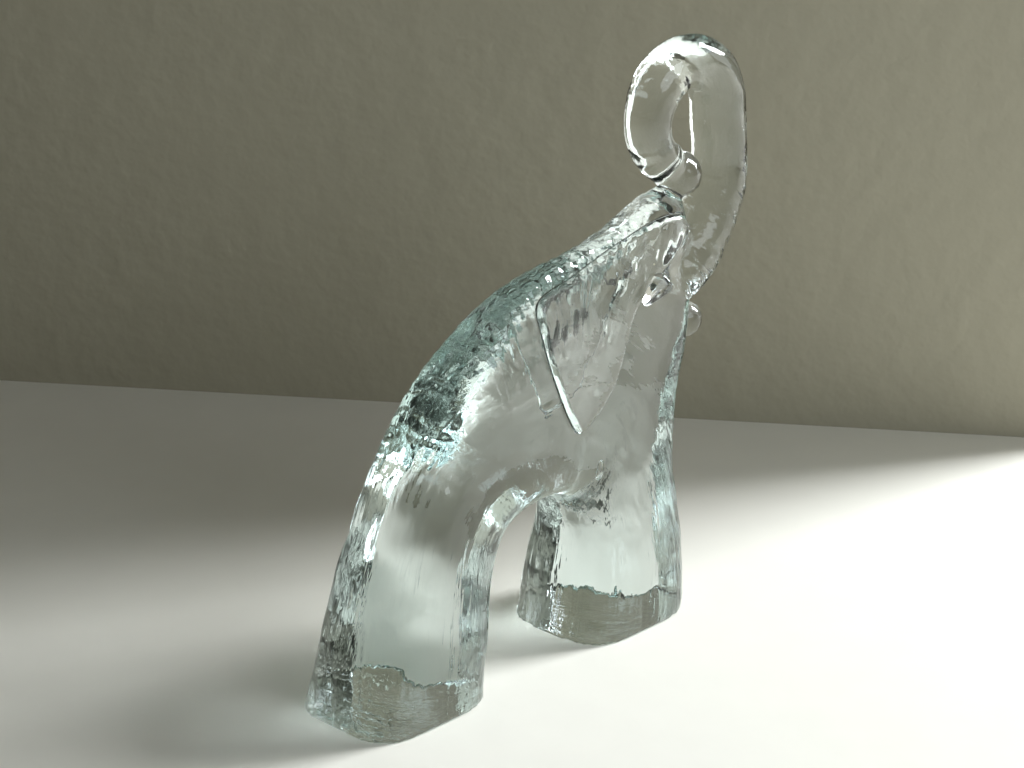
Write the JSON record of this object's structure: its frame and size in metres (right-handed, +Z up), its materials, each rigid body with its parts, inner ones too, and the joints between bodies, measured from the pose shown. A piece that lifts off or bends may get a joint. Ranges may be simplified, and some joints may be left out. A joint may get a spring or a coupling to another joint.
{
  "type": "glass elephant figurine",
  "caption": "Clear glass elephant ornament: block legs joined by an arch, a slab body that narrows to the back, pressed ears, small tusks, and a raised trunk curled over onto the head.",
  "frame": {"origin": "on the table, under the middle of the whole figure", "axes": "+Z up, +X the way the elephant faces, +Y its left"},
  "size_m": [0.1075, 0.0262, 0.1099],
  "materials": {
    "clear_glass": "clear solid glass, fire polished, with faint ripples and a slight cool tint in the depth"
  },
  "bodies": {
    "root": {"hind_leg": "clear_glass", "torso": "clear_glass", "head": "clear_glass", "front_leg": "clear_glass", "trunk": "clear_glass", "trunk_tip": "clear_glass", "right_ear": "clear_glass", "left_ear": "clear_glass", "right_tusk": "clear_glass", "left_tusk": "clear_glass", "lower_lip": "clear_glass"}
  },
  "joints": []
}
